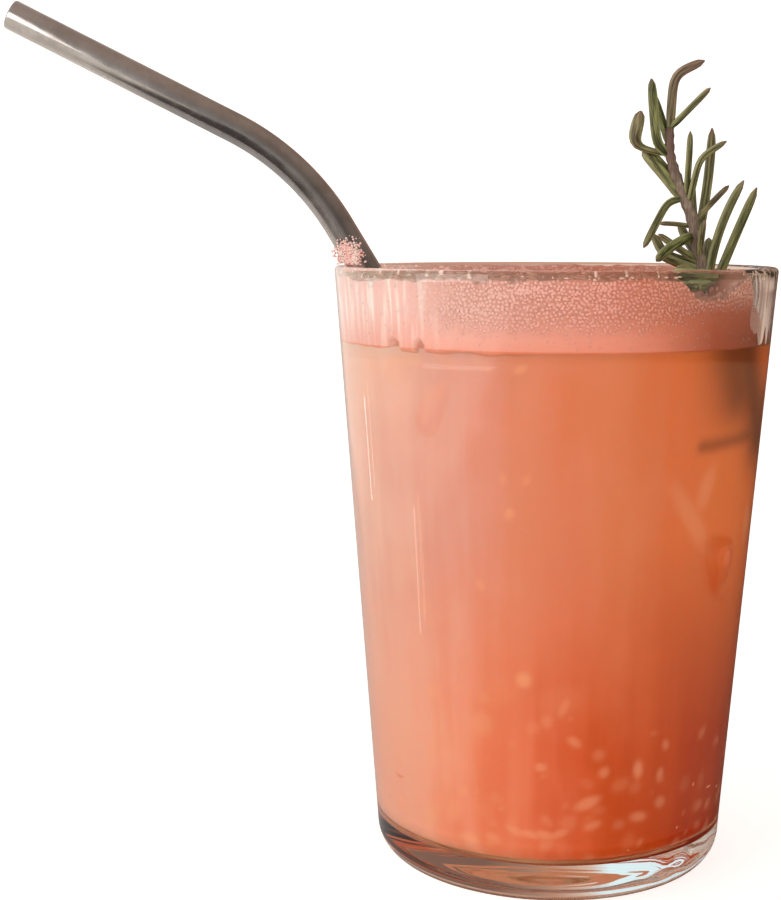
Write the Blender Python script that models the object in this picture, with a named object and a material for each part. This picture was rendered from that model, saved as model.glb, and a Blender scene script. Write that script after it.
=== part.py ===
# A glass of pink lemonade: a tapered clear tumbler, the cloudy drink in it, the
# head of foam on the drink, a bent steel straw and a sprig of rosemary.
# Metres, Z up, with the origin at the middle of the tumbler's foot.
import math

import bmesh
import bpy
from mathutils import Vector, noise

MM = 0.001

# Tumbler
HEIGHT = 120.8 * MM
RIM_RADIUS = 44.0 * MM
FOOT_RADIUS = 34.6 * MM
HEEL_RADIUS = 6.9 * MM
WALL_AT_RIM = 1.8 * MM
WALL_AT_FOOT = 2.6 * MM
BASE_THICKNESS = 8.0 * MM
FLOOR_FILLET = 5.0 * MM
ROUND_STEPS = 72

# What fills the tumbler
CLEARANCE = 0.3 * MM
DRINK_LEVEL = 106.5 * MM
FOAM_LEVEL = 119.0 * MM
FOAM_RINGS = 16
BUBBLE_RELIEF = 0.35 * MM
BUBBLE_SPACING = 4.0 * MM
DIP_PLACE = Vector((28.0, -21.0)) * MM
DIP_DEPTH = 3.6 * MM
DIP_RADIUS = 7.5 * MM
COLLAR_HEIGHT = 2.6 * MM
COLLAR_RADIUS = 6.0 * MM

# Straw
STRAW_RADIUS = 3.0 * MM
STRAW_BORE_RADIUS = 2.5 * MM
STRAW_Y = 2.0 * MM
STRAW_X_AT_RIM = -38.3 * MM
LOWER_LEAN = math.radians(31.3)
UPPER_LEAN = math.radians(63.4)
BEND_RADIUS = 52.0 * MM
BEND_ABOVE_RIM = 9.2 * MM
UPPER_LENGTH = 49.0 * MM
LENGTH_BELOW_RIM = 128.8 * MM
BEND_STEPS = 10
STRAW_SIDES = 20

# Sprig, drawn in a plane that stands just in front of the tumbler's axis
SPRIG_Y = -8.0 * MM
STEM_PLACES = [(32.4, 87.0), (31.8, 99.0), (29.9, 114.0), (27.6, 123.0),
               (25.9, 130.5), (23.0, 137.5), (21.5, 142.5), (21.3, 147.5)]
STEM_RADIUS_LOW = 1.5 * MM
STEM_RADIUS_TOP = 0.85 * MM
STEM_STEPS = 18
STEM_SIDES = 8
LEAF_STEPS = 7
LEAF_SIDES = 6
LEAF_THICKNESS = 0.62

# One row for each leaf: the height it grows from (mm), its lean from upright at
# the base and at the tip (degrees, to the right), how far it heads away from the
# viewer for each unit along, its length and width (mm), and how far along it is
# kinked, or 0 for a leaf that curves evenly.
LEAVES = [
    (147.0, 3, 67, 0.05, 16.8, 1.9, 0.6),
    (147.4, 43, 44, -0.2, 10.8, 1.4, 0),
    (142.0, -54, -7, -0.15, 16.2, 1.9, 0.18),
    (144.0, -14, -19, 0.3, 11.6, 1.9, 0),
    (142.4, -82, 26, 0.0, 13.4, 2.6, 0.5),
    (134.0, -36, -44, 0.15, 12.8, 3.0, 0),
    (133.6, 2, -2, -0.25, 13.6, 1.5, 0),
    (125.5, 14, 3, 0.25, 23.4, 1.9, 0),
    (132.4, 9, 58, -0.3, 15.6, 1.6, 0.6),
    (129.2, 42, 48, 0.3, 11.0, 1.2, 0),
    (116.5, 3, 31, -0.1, 22.2, 2.1, 0),
    (114.5, 22, 25, 0.15, 24.0, 2.2, 0),
    (134.0, -94, -152, -0.2, 13.6, 1.5, 0.2),
    (128.6, -78, -92, 0.2, 6.8, 1.0, 0),
    (120.8, -72, -24, 0.35, 12.6, 2.2, 0.6),
    (121.6, -60, -56, -0.3, 11.0, 1.5, 0),
    (127.0, -106, -138, -0.5, 11.0, 2.0, 0),
    (120.0, -74, -64, 0.1, 9.6, 2.0, 0),
    (122.5, -34, -14, 0.8, 9.5, 1.8, 0),
    (134.5, -24, -22, 0.9, 9.0, 1.6, 0),
    (128.0, 2, 6, 0.9, 13.0, 1.8, 0),
    (122.5, -6, 2, -0.7, 9.0, 1.6, 0),
    (118.5, 12, 15, 0.9, 11.0, 1.8, 0),
    (110.0, 16, 4, -0.5, 12.0, 1.8, 0),
    (104.0, -18, 6, 0.5, 14.0, 1.8, 0),
    (99.0, 12, -4, -0.4, 13.0, 1.8, 0),
    (93.0, -50, -100, -0.4, 9.0, 1.7, 0),
    (90.0, -12, -30, 0.5, 11.0, 1.6, 0),
]


def clear_scene():
    """Removes whatever objects the scene starts with."""
    for old in list(bpy.data.objects):
        bpy.data.objects.remove(old, do_unlink=True)


def material(name, colour, roughness, metallic=0.0, transmission=0.0):
    """Makes a plain Principled material."""
    made = bpy.data.materials.new(name)
    made.use_nodes = True
    shader = made.node_tree.nodes["Principled BSDF"]
    shader.inputs["Base Color"].default_value = (*colour, 1.0)
    shader.inputs["Roughness"].default_value = roughness
    shader.inputs["Metallic"].default_value = metallic
    shader.inputs["Transmission Weight"].default_value = transmission
    return made


def finish_mesh(name, bm):
    """Turns a bmesh into an object with its faces pointing out and shaded smooth."""
    bmesh.ops.recalc_face_normals(bm, faces=bm.faces)
    mesh = bpy.data.meshes.new(name)
    bm.to_mesh(mesh)
    bm.free()
    mesh.shade_smooth()
    mesh.set_sharp_from_angle(angle=math.radians(40.0))
    made = bpy.data.objects.new(name, mesh)
    bpy.context.scene.collection.objects.link(made)
    return made


def arc(centre, radius, start, end, steps):
    """Gives points (radius, height) round part of a circle; angles in radians."""
    points = []
    for i in range(steps + 1):
        angle = start + (end - start) * i / steps
        across = centre[0] + radius * math.cos(angle)
        points.append((across, centre[1] + radius * math.sin(angle)))
    return points


def spun(profile):
    """Spins a profile of (radius, height) points into a closed bmesh."""
    bm = bmesh.new()
    verts = [bm.verts.new((across, 0.0, height)) for across, height in profile]
    edges = [bm.edges.new(pair) for pair in zip(verts, verts[1:])]
    bmesh.ops.spin(bm, geom=verts + edges, cent=(0, 0, 0), axis=(0, 0, 1),
                   angle=2 * math.pi, steps=ROUND_STEPS, use_merge=True)
    bmesh.ops.remove_doubles(bm, verts=bm.verts, dist=0.001 * MM)
    return bm


OUTER_SLOPE = math.atan2(RIM_RADIUS - FOOT_RADIUS, HEIGHT)
BORE_AT_FOOT = FOOT_RADIUS - WALL_AT_FOOT
BORE_AT_RIM = RIM_RADIUS - WALL_AT_RIM
BORE_SLOPE = math.atan2(BORE_AT_RIM - BORE_AT_FOOT, HEIGHT)


def bore_radius(height):
    """The tumbler's inner radius at a height."""
    return BORE_AT_FOOT + height * math.tan(BORE_SLOPE)


def wall_fillet_centre(radius_at_zero, slope, floor, fillet):
    """The centre of a fillet between a level floor and a wall that leans out."""
    height = floor + fillet
    drop = (height * math.sin(slope) - fillet) / math.cos(slope)
    return (radius_at_zero + drop, height)


def inner_floor_profile(gap):
    """The inside from the floor's middle to the wall, set in by a gap."""
    centre = wall_fillet_centre(BORE_AT_FOOT, BORE_SLOPE, BASE_THICKNESS, FLOOR_FILLET)
    corner = arc(centre, FLOOR_FILLET - gap, -math.pi / 2, -BORE_SLOPE, 5)
    return [(0.0, BASE_THICKNESS + gap)] + corner


def make_tumbler():
    """The glass: a thick rounded base, a leaning wall and a round rim."""
    heel = wall_fillet_centre(FOOT_RADIUS, OUTER_SLOPE, 0.0, HEEL_RADIUS)
    profile = [(0.0, 0.0)]
    profile += arc(heel, HEEL_RADIUS, -math.pi / 2, -OUTER_SLOPE, 7)
    lip = WALL_AT_RIM / 2
    profile += arc((RIM_RADIUS - lip, HEIGHT - lip), lip, 0.0, math.pi, 6)
    profile += reversed(inner_floor_profile(0.0))
    tumbler = finish_mesh("glass", spun(profile))
    tumbler.data.materials.append(material("clear_glass", (0.95, 0.96, 0.95), 0.03,
                                           transmission=1.0))


def make_drink():
    """The drink, from the floor of the tumbler up to the foam."""
    profile = inner_floor_profile(CLEARANCE)
    profile.append((bore_radius(DRINK_LEVEL) - CLEARANCE, DRINK_LEVEL))
    profile.append((0.0, DRINK_LEVEL))
    drink = finish_mesh("drink", spun(profile))
    drink.data.materials.append(material("pink_drink", (0.75, 0.22, 0.12), 0.15))
    return drink


def foam_lift(place):
    """How far the foam's top stands above its level at a place in plan."""
    relief = noise.noise(Vector((place.x, place.y, 0.0)) / BUBBLE_SPACING)
    lift = BUBBLE_RELIEF * relief
    dip = (place - DIP_PLACE).length / DIP_RADIUS
    lift -= DIP_DEPTH * math.exp(-dip * dip)
    straw_place = Vector((STRAW_X_AT_RIM, STRAW_Y))
    collar = (place - straw_place).length / COLLAR_RADIUS
    lift += COLLAR_HEIGHT * math.exp(-collar * collar)
    return lift


def make_foam():
    """The head of foam, uneven on top, sunk by the sprig and raised at the straw."""
    floor = DRINK_LEVEL + CLEARANCE
    edge = bore_radius(FOAM_LEVEL) - CLEARANCE
    profile = [(0.0, floor), (bore_radius(floor) - CLEARANCE, floor)]
    for i in range(FOAM_RINGS, -1, -1):
        profile.append((edge * i / FOAM_RINGS, FOAM_LEVEL))
    bm = spun(profile)
    for vert in bm.verts:
        if vert.co.z > FOAM_LEVEL - MM:
            vert.co.z += foam_lift(vert.co.xy)
    bmesh.ops.triangulate(bm, faces=bm.faces)
    foam = finish_mesh("foam", bm)
    foam.data.materials.append(material("pink_foam", (0.85, 0.50, 0.42), 0.6))
    return foam


def straw_places():
    """The straw's centre line, from its end in the drink to its open tip."""
    low = Vector((-math.sin(LOWER_LEAN), 0.0, math.cos(LOWER_LEAN)))
    high = Vector((-math.sin(UPPER_LEAN), 0.0, math.cos(UPPER_LEAN)))
    at_rim = Vector((STRAW_X_AT_RIM, STRAW_Y, HEIGHT))
    bend_start = at_rim + low * BEND_ABOVE_RIM
    inward = Vector((-low.z, 0.0, low.x))
    centre = bend_start + inward * BEND_RADIUS
    places = [at_rim - low * LENGTH_BELOW_RIM]
    for i in range(BEND_STEPS + 1):
        lean = LOWER_LEAN + (UPPER_LEAN - LOWER_LEAN) * i / BEND_STEPS
        outward = Vector((math.cos(lean), 0.0, math.sin(lean)))
        places.append(centre + outward * BEND_RADIUS)
    places.append(places[-1] + high * UPPER_LENGTH)
    return places


def heading(places, i):
    """The direction of a line of places at its place i."""
    behind = places[max(i - 1, 0)]
    ahead = places[min(i + 1, len(places) - 1)]
    return (ahead - behind).normalized()


def add_rings(bm, places, half_widths, half_depths, sides):
    """Adds a ring of points at each place, square to the line through them."""
    rings = []
    for i, place in enumerate(places):
        depth_axis = Vector((0.0, 1.0, 0.0))
        along = heading(places, i)
        width_axis = along.cross(depth_axis).normalized()
        depth_axis = width_axis.cross(along)
        ring = []
        for k in range(sides):
            angle = 2 * math.pi * k / sides
            across = width_axis * (half_widths[i] * math.cos(angle))
            deep = depth_axis * (half_depths[i] * math.sin(angle))
            ring.append(bm.verts.new(place + across + deep))
        rings.append(ring)
    return rings


def join_rings(bm, rings):
    """Joins each ring to the next with quads."""
    for low, high in zip(rings, rings[1:]):
        sides = len(low)
        for k in range(sides):
            after = (k + 1) % sides
            bm.faces.new((low[k], low[after], high[after], high[k]))


def solid_rod(name, places, half_widths, half_depths, sides):
    """A closed rod of the given half sizes along a line of places."""
    bm = bmesh.new()
    rings = add_rings(bm, places, half_widths, half_depths, sides)
    join_rings(bm, rings)
    bm.faces.new(rings[0])
    bm.faces.new(rings[-1])
    return finish_mesh(name, bm)


def make_straw():
    """The straw: a thin steel tube, bent once and open at both ends."""
    places = straw_places()
    count = len(places)
    bm = bmesh.new()
    outer = add_rings(bm, places, [STRAW_RADIUS] * count, [STRAW_RADIUS] * count,
                      STRAW_SIDES)
    bore = add_rings(bm, places, [STRAW_BORE_RADIUS] * count,
                     [STRAW_BORE_RADIUS] * count, STRAW_SIDES)
    join_rings(bm, outer + bore[::-1] + [outer[0]])
    straw = finish_mesh("straw", bm)
    straw.data.materials.append(material("steel", (0.45, 0.41, 0.38), 0.16, metallic=1.0))


def straw_room():
    """A cutter as thick as the straw and its clearance, past the lower end."""
    places = straw_places()
    places[0] += (places[0] - places[1]).normalized() * CLEARANCE
    radii = [STRAW_RADIUS + CLEARANCE] * len(places)
    return solid_rod("straw_room", places, radii, radii, STRAW_SIDES)


def stem_place(part):
    """A place along the stem, from 0 at its foot to 1 at its top, on a smooth curve."""
    spans = len(STEM_PLACES) - 1
    span = min(int(part * spans), spans - 1)
    t = part * spans - span
    picks = [max(span - 1, 0), span, span + 1, min(span + 2, spans)]
    a, b, c, d = [Vector((STEM_PLACES[i][0], STEM_PLACES[i][1])) for i in picks]
    curve = 2 * b + (c - a) * t + (2 * a - 5 * b + 4 * c - d) * t ** 2
    curve = (curve + (3 * b - a - 3 * c + d) * t ** 3) / 2
    return Vector((curve.x * MM, SPRIG_Y, curve.y * MM))


def stem_place_at(height):
    """The place on the stem's centre line at a height."""
    low, high = 0.0, 1.0
    for _ in range(24):
        middle = (low + high) / 2
        if stem_place(middle).z < height:
            low = middle
        else:
            high = middle
    return stem_place(low)


def make_stem(name, grow):
    """The sprig's woody stem, thicker by a margin all round."""
    places = [stem_place(i / STEM_STEPS) for i in range(STEM_STEPS + 1)]
    places[0] += (places[0] - places[1]).normalized() * grow
    radii = []
    for i in range(STEM_STEPS + 1):
        taper = i / STEM_STEPS
        radius = STEM_RADIUS_LOW + (STEM_RADIUS_TOP - STEM_RADIUS_LOW) * taper
        radii.append(radius + grow)
    return solid_rod(name, places, radii, radii, STEM_SIDES)


def make_leaf(name, row, grow):
    """One needle leaf: narrow at its foot, blunt at its tip, and curved or kinked."""
    height, lean_foot, lean_tip, away, length, width, kink = row
    place = stem_place_at(height * MM)
    places = [place]
    half_widths = []
    half_depths = []
    step = (length * MM + grow) / LEAF_STEPS
    for i in range(LEAF_STEPS + 1):
        part = i / LEAF_STEPS
        turned = part
        if kink:
            turned = 1 / (1 + math.exp(-(part - kink) * 16.0))
        lean = math.radians(lean_foot + (lean_tip - lean_foot) * turned)
        ahead = Vector((math.sin(lean), away, math.cos(lean))).normalized()
        if i < LEAF_STEPS:
            places.append(places[-1] + ahead * step)
        swell = min(1.0, 0.55 + 3.0 * part) * math.sqrt(1.06 - part ** 8)
        half = width * MM / 2 * swell
        half_widths.append(half + grow)
        half_depths.append(half * LEAF_THICKNESS + grow)
    return solid_rod(name, places, half_widths, half_depths, LEAF_SIDES)


def union_with(base, pieces):
    """Fuses pieces onto a base with one Boolean union, and removes them."""
    group = bpy.data.collections.new(base.name + "_pieces")
    bpy.context.scene.collection.children.link(group)
    for piece in pieces:
        bpy.context.scene.collection.objects.unlink(piece)
        group.objects.link(piece)
    union = base.modifiers.new("union", "BOOLEAN")
    union.operation = "UNION"
    union.operand_type = "COLLECTION"
    union.collection = group
    union.solver = "EXACT"
    apply_modifiers(base)
    for piece in pieces:
        bpy.data.objects.remove(piece, do_unlink=True)
    bpy.data.collections.remove(group)


def apply_modifiers(target):
    """Replaces an object's mesh with the one that its modifiers make."""
    graph = bpy.context.evaluated_depsgraph_get()
    mesh = bpy.data.meshes.new_from_object(target.evaluated_get(graph))
    target.modifiers.clear()
    target.data = mesh


def make_sprig(name, grow):
    """The rosemary sprig as one solid, thicker by a margin all round."""
    stem = make_stem(name, grow)
    leaves = []
    for i, row in enumerate(LEAVES):
        leaves.append(make_leaf(f"{name}_leaf_{i:02d}", row, grow))
    union_with(stem, leaves)
    return stem


def cut(target, cutters):
    """Cuts each cutter's room out of a target."""
    for cutter in cutters:
        difference = target.modifiers.new(cutter.name, "BOOLEAN")
        difference.operation = "DIFFERENCE"
        difference.object = cutter
        difference.solver = "EXACT"
    apply_modifiers(target)


def main():
    clear_scene()
    make_tumbler()
    drink = make_drink()
    foam = make_foam()
    make_straw()
    sprig = make_sprig("rosemary", 0.0)
    sprig.data.materials.clear()
    sprig.data.materials.append(material("rosemary_green", (0.16, 0.17, 0.06), 0.55))
    rooms = [straw_room(), make_sprig("sprig_room", CLEARANCE)]
    cut(drink, rooms)
    cut(foam, rooms)
    for room in rooms:
        bpy.data.objects.remove(room, do_unlink=True)


main()
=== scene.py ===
# The looks of a glass of pink lemonade: tumbler, cloudy drink, foam, ice, pulp,
# bent steel straw and rosemary sprig, on a pale studio floor.
import math
import random
import bmesh
import bpy
import numpy as np
from mathutils import Matrix, Vector, noise


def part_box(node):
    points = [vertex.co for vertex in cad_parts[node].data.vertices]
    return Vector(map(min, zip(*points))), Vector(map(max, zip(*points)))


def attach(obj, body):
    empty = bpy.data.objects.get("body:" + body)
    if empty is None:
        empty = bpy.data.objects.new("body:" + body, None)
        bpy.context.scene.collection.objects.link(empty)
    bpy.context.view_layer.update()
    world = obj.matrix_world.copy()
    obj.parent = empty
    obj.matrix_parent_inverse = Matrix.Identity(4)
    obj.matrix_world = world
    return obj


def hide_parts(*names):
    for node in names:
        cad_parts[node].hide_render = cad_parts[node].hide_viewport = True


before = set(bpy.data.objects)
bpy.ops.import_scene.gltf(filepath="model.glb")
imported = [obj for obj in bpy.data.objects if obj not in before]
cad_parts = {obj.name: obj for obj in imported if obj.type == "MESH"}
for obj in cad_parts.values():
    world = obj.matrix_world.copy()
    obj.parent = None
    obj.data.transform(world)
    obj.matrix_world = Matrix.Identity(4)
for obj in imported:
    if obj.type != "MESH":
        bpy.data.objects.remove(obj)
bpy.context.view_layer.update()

MM = 0.001

# Camera, as fitted to the photograph
CAMERA_PLACE = Vector((-0.0327, -0.3427, 0.1279))
CAMERA_PITCH = math.radians(7.38)
CAMERA_ROLL = math.radians(0.12)
CAMERA_LENS = 68.0
CAMERA_SENSOR = 36.0
PICTURE_WIDTH = 781
PICTURE_HEIGHT = 900
CAMERA_TURN = (Matrix.Rotation(math.pi / 2 - CAMERA_PITCH, 4, "X")
               @ Matrix.Rotation(CAMERA_ROLL, 4, "Z"))

# Tumbler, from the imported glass
GLASS_LOW, GLASS_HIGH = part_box("glass")
HEIGHT = GLASS_HIGH.z
RIM_RADIUS = GLASS_HIGH.x
FOOT_RADIUS = 34.6 * MM
HEEL_RADIUS = 6.9 * MM
WALL_AT_RIM = 1.8 * MM
WALL_AT_FOOT = 2.6 * MM
BASE_THICKNESS = 8.0 * MM
FLOOR_FILLET = 5.0 * MM
PUNT_DEPTH = 0.9 * MM
PUNT_RADIUS = 25.0 * MM
WALL_WAVE = 0.035 * MM
LIP_BEAD = 0.35 * MM
FOOT_RINGS = 40
GLASS_STEPS = 180

# Drink and foam
DRINK_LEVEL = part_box("drink")[1].z
FOAM_LEVEL = 119.0 * MM
REACH = 0.25 * MM
CLOUD_INSET = 0.32 * MM
CLOUD_FLOOR_GAP = 0.12 * MM
CLOUD_STEPS = 400
CLOUD_ROWS = 180
FOAM_STEPS = 540
FOAM_SIDE_ROWS = 38
FOAM_TOP_RINGS = 40
FOAM_BELOW_DRINK = 1.1 * MM
FOAM_RIGHT_END = 33.0 * MM
FOAM_LEFT_END = 43.5 * MM
SPRIG_FOOT = Vector((26.5, -9.0)) * MM
DIP_EDGE = Vector((24.3, -34.0)) * MM
DIP_DEPTH = 3.8 * MM
DIP_RADIUS = 5.2 * MM
BUBBLE_PITCH = 0.72 * MM
BUBBLE_ROWS = 20
BUBBLE_ROW_RISE = 0.62      # mm
TOP_BUBBLES = 2200
FROTH_BALLS = 620
RIM_DROPS = 130
SCATTERED_FLECKS = 190
FIRM_FLECKS = 27
SMALL_PULP = 60
WISPS = 9

# A hair's breadth under the foot, so that the foot mirrors the drink as it does on a table
FLOOR_GAP = -0.2 * MM

# Straw
STRAW_RADIUS = 3.0 * MM
STRAW_BORE_RADIUS = 2.5 * MM
STRAW_Y = 2.0 * MM
STRAW_X_AT_RIM = -38.3 * MM
LOWER_LEAN = math.radians(31.3)
UPPER_LEAN = math.radians(63.4)
BEND_RADIUS = 52.0 * MM
BEND_ABOVE_RIM = 9.2 * MM
UPPER_LENGTH = 49.0 * MM
LENGTH_BELOW_RIM = 128.8 * MM
BEND_STEPS = 40
STRAW_SIDES = 48
STRAW_SOFTENING = 0.12 * MM

# Sprig
SPRIG_Y = -8.0 * MM
STEM_PLACES = [(32.4, 87.0), (31.8, 99.0), (29.9, 114.0), (27.6, 123.0),
               (25.9, 130.5), (23.0, 137.5), (21.5, 142.5), (21.3, 147.5)]
STEM_RADIUS_LOW = 1.5 * MM
STEM_RADIUS_TOP = 0.85 * MM
STEM_STEPS = 60
STEM_SIDES = 14
LEAF_STEPS = 16
LEAF_SIDES = 14
LEAF_THICKNESS = 0.62
LEAF_GROOVE = 0.75
KINK_SHARPNESS = 18.0
NEEDLE_ROLL = 2.6

# One row for each leaf: the height it grows from (mm), its lean from upright at
# the base and at the tip (degrees, to the right), how far it heads away from the
# viewer for each unit along, its length and width (mm), how far along it is kinked
# (negative where it is thin up to the kink), or 0 for a leaf that curves evenly, and
# how brown it is, from 0 to 1.
LEAVES = [
    (147.0, 3, 67, 0.05, 16.8, 1.9, 0.6, 0.9),
    (147.4, 43, 44, -0.2, 10.8, 1.4, 0, 0.25),
    (142.0, -54, -7, -0.15, 16.2, 1.9, 0.18, 0.05),
    (144.0, -14, -19, 0.3, 11.6, 1.9, 0, 0.0),
    (142.4, -77, 14, 0.0, 13.4, 2.6, -0.5, 0.40),
    (134.0, -36, -44, 0.15, 12.8, 3.0, 0, 0.1),
    (133.6, 2, -2, -0.25, 13.6, 1.5, 0, 0.15),
    (125.5, 14, 3, 0.25, 23.4, 1.9, 0, 0.3),
    (132.4, 9, 58, -0.3, 15.6, 1.6, 0.6, 0.2),
    (129.2, 42, 48, 0.3, 11.0, 1.2, 0, 0.6),
    (116.5, 3, 31, -0.1, 22.2, 2.1, 0, 0.15),
    (114.5, 22, 25, 0.15, 24.0, 2.2, 0, 0.1),
    (134.0, -94, -152, -0.2, 13.6, 1.5, 0.2, 0.2),
    (128.6, -78, -92, 0.2, 6.8, 1.0, 0, 0.5),
    (120.8, -72, -24, 0.35, 12.6, 2.2, 0.6, 0.2),
    (121.6, -60, -56, -0.3, 11.0, 1.5, 0, 0.3),
    (127.0, -106, -138, -0.5, 11.0, 2.0, 0, 0.0),
    (120.0, -74, -64, 0.1, 9.6, 2.0, 0, 0.2),
    (122.5, -34, -14, 0.8, 9.5, 1.8, 0, 0.2),
    (134.5, -24, -22, 0.9, 9.0, 1.6, 0, 0.2),
    (128.0, 2, 6, 0.9, 13.0, 1.8, 0, 0.2),
    (122.5, -6, 2, -0.7, 9.0, 1.6, 0, 0.3),
    (118.5, 12, 15, 0.9, 11.0, 1.8, 0, 0.2),
    (110.0, 16, 4, -0.5, 12.0, 1.8, 0, 0.3),
    (104.0, -18, 6, 0.5, 14.0, 1.8, 0, 0.3),
    (99.0, 12, -4, -0.4, 13.0, 1.8, 0, 0.3),
    (89.0, -72, -108, -0.5, 12.0, 1.7, 0, 0.3),
    (90.0, -12, -30, 0.5, 11.0, 1.6, 0, 0.3),
    (103.0, 30, 22, -0.1, 16.5, 1.6, 0, 0.8),
    (117.5, -60, -80, -1.3, 14.0, 2.6, 0, 0.2),
]

OUTER_SLOPE = math.atan2(RIM_RADIUS - FOOT_RADIUS, HEIGHT)
BORE_AT_FOOT = FOOT_RADIUS - WALL_AT_FOOT
BORE_AT_RIM = RIM_RADIUS - WALL_AT_RIM
BORE_SLOPE = math.atan2(BORE_AT_RIM - BORE_AT_FOOT, HEIGHT)


# Small helpers for shapes

def bore_radius(height):
    """The tumbler's inner radius at a height."""
    return BORE_AT_FOOT + height * math.tan(BORE_SLOPE)


def inside_radius(height):
    """The tumbler's inner radius at a height, also down the fillet at its floor."""
    centre = fillet_centre(BORE_AT_FOOT, BORE_SLOPE, BASE_THICKNESS, FLOOR_FILLET)
    if height > centre[1]:
        return bore_radius(height)
    drop = min(centre[1] - height, FLOOR_FILLET)
    return centre[0] + math.sqrt(FLOOR_FILLET ** 2 - drop ** 2)


def smooth_step(low, high, value):
    """Rises smoothly from 0 at low to 1 at high."""
    t = min(max((value - low) / (high - low), 0.0), 1.0)
    return t * t * (3 - 2 * t)


def round_angle(place):
    """The angle round the tumbler from its front, positive to the right, in degrees."""
    return math.degrees(math.atan2(place.x, -place.y))


def wall_at(column, row):
    """The angle (degrees) and height on the inside of the wall that the camera sees at
    a column and row of a picture 781 wide and 900 high."""
    focal = PICTURE_HEIGHT * CAMERA_LENS / CAMERA_SENSOR
    ray = Vector((column - PICTURE_WIDTH / 2, PICTURE_HEIGHT / 2 - row, -focal))
    ray = CAMERA_TURN @ ray
    slope = math.tan(BORE_SLOPE)
    start = bore_radius(CAMERA_PLACE.z)
    a = ray.x ** 2 + ray.y ** 2 - (slope * ray.z) ** 2
    b = CAMERA_PLACE.x * ray.x + CAMERA_PLACE.y * ray.y - start * slope * ray.z
    c = CAMERA_PLACE.x ** 2 + CAMERA_PLACE.y ** 2 - start ** 2
    near = (-b - math.sqrt(max(b * b - a * c, 0.0))) / a
    place = CAMERA_PLACE + ray * near
    return round_angle(place), place.z


def wall_place(degrees, radius, height):
    """The place at an angle round from the tumbler's front."""
    angle = math.radians(degrees)
    return Vector((radius * math.sin(angle), -radius * math.cos(angle), height))


def arc(centre, radius, start, end, steps):
    """Gives points (radius, height) round part of a circle; angles in radians."""
    points = []
    for i in range(steps + 1):
        angle = start + (end - start) * i / steps
        across = centre[0] + radius * math.cos(angle)
        points.append((across, centre[1] + radius * math.sin(angle)))
    return points


def fillet_centre(radius_at_zero, slope, floor, fillet):
    """The centre of a fillet between a level floor and a wall that leans out."""
    height = floor + fillet
    drop = (height * math.sin(slope) - fillet) / math.cos(slope)
    return (radius_at_zero + drop, height)


def inner_floor(gap, steps):
    """The inside from the floor's middle to the wall, set in by a gap."""
    centre = fillet_centre(BORE_AT_FOOT, BORE_SLOPE, BASE_THICKNESS, FLOOR_FILLET)
    corner = arc(centre, FLOOR_FILLET - gap, -math.pi / 2, -BORE_SLOPE, steps)
    return [(0.0, BASE_THICKNESS + gap)] + corner


def between(low, high, steps):
    """Points from low to high, without the first."""
    spread = []
    for i in range(1, steps + 1):
        t = i / steps
        spread.append((low[0] + (high[0] - low[0]) * t, low[1] + (high[1] - low[1]) * t))
    return spread


def spun(profile, steps):
    """Spins a profile of (radius, height) points into a closed bmesh."""
    bm = bmesh.new()
    verts = [bm.verts.new((across, 0.0, height)) for across, height in profile]
    edges = [bm.edges.new(pair) for pair in zip(verts, verts[1:])]
    bmesh.ops.spin(bm, geom=verts + edges, cent=(0, 0, 0), axis=(0, 0, 1),
                   dvec=(0, 0, 0), angle=2 * math.pi, steps=steps, use_merge=True)
    bmesh.ops.remove_doubles(bm, verts=bm.verts, dist=0.001 * MM)
    bmesh.ops.recalc_face_normals(bm, faces=bm.faces)
    return bm


def heading(places, i):
    """The direction of a line of places at its place i."""
    behind = places[max(i - 1, 0)]
    ahead = places[min(i + 1, len(places) - 1)]
    return (ahead - behind).normalized()


def section(places, i, half_width, half_depth, roll):
    """The matrix that puts a unit ring square to a line at its place i."""
    along = heading(places, i)
    width_axis = along.cross(Vector((0.0, 1.0, 0.0))).normalized()
    depth_axis = width_axis.cross(along)
    turned_width = width_axis * math.cos(roll) + depth_axis * math.sin(roll)
    turned_depth = depth_axis * math.cos(roll) - width_axis * math.sin(roll)
    placed = Matrix.Identity(4)
    placed.col[0] = (*(turned_width * half_width), 0.0)
    placed.col[1] = (*(turned_depth * half_depth), 0.0)
    placed.col[2] = (*along, 0.0)
    placed.col[3] = (*places[i], 1.0)
    return placed


def drawn_out(bm, places, half_widths, half_depths, sides, groove=0.0, roll=0.0):
    """Extrudes a ring along a line of places, and returns its first and last edges."""
    ring = bmesh.ops.create_circle(bm, cap_ends=False, radius=1.0, segments=sides)
    for vert in ring["verts"]:
        if vert.co.y > 0.0:
            vert.co.y *= 1.0 - groove * math.exp(-(vert.co.x / 0.4) ** 2)
    frames = []
    for i in range(len(places)):
        frames.append(section(places, i, half_widths[i], half_depths[i], roll))
    bmesh.ops.transform(bm, matrix=frames[0], verts=ring["verts"])
    first = list({edge for vert in ring["verts"] for edge in vert.link_edges})
    edges = first
    for before, after in zip(frames, frames[1:]):
        made = bmesh.ops.extrude_edge_only(bm, edges=edges)["geom"]
        verts = [item for item in made if isinstance(item, bmesh.types.BMVert)]
        edges = [item for item in made
                 if isinstance(item, bmesh.types.BMEdge) and item.is_boundary]
        bmesh.ops.transform(bm, matrix=after @ before.inverted(), verts=verts)
    return first, edges


def rod(bm, places, half_widths, half_depths, sides, groove=0.0, roll=0.0):
    """Draws a ring out along a line of places and closes both ends."""
    for end in drawn_out(bm, places, half_widths, half_depths, sides, groove, roll):
        bmesh.ops.edgeloop_fill(bm, edges=end)


def ball(subdivisions, radius):
    """A template ball for copies."""
    bm = bmesh.new()
    bmesh.ops.create_icosphere(bm, subdivisions=subdivisions, radius=radius)
    return bm


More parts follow.
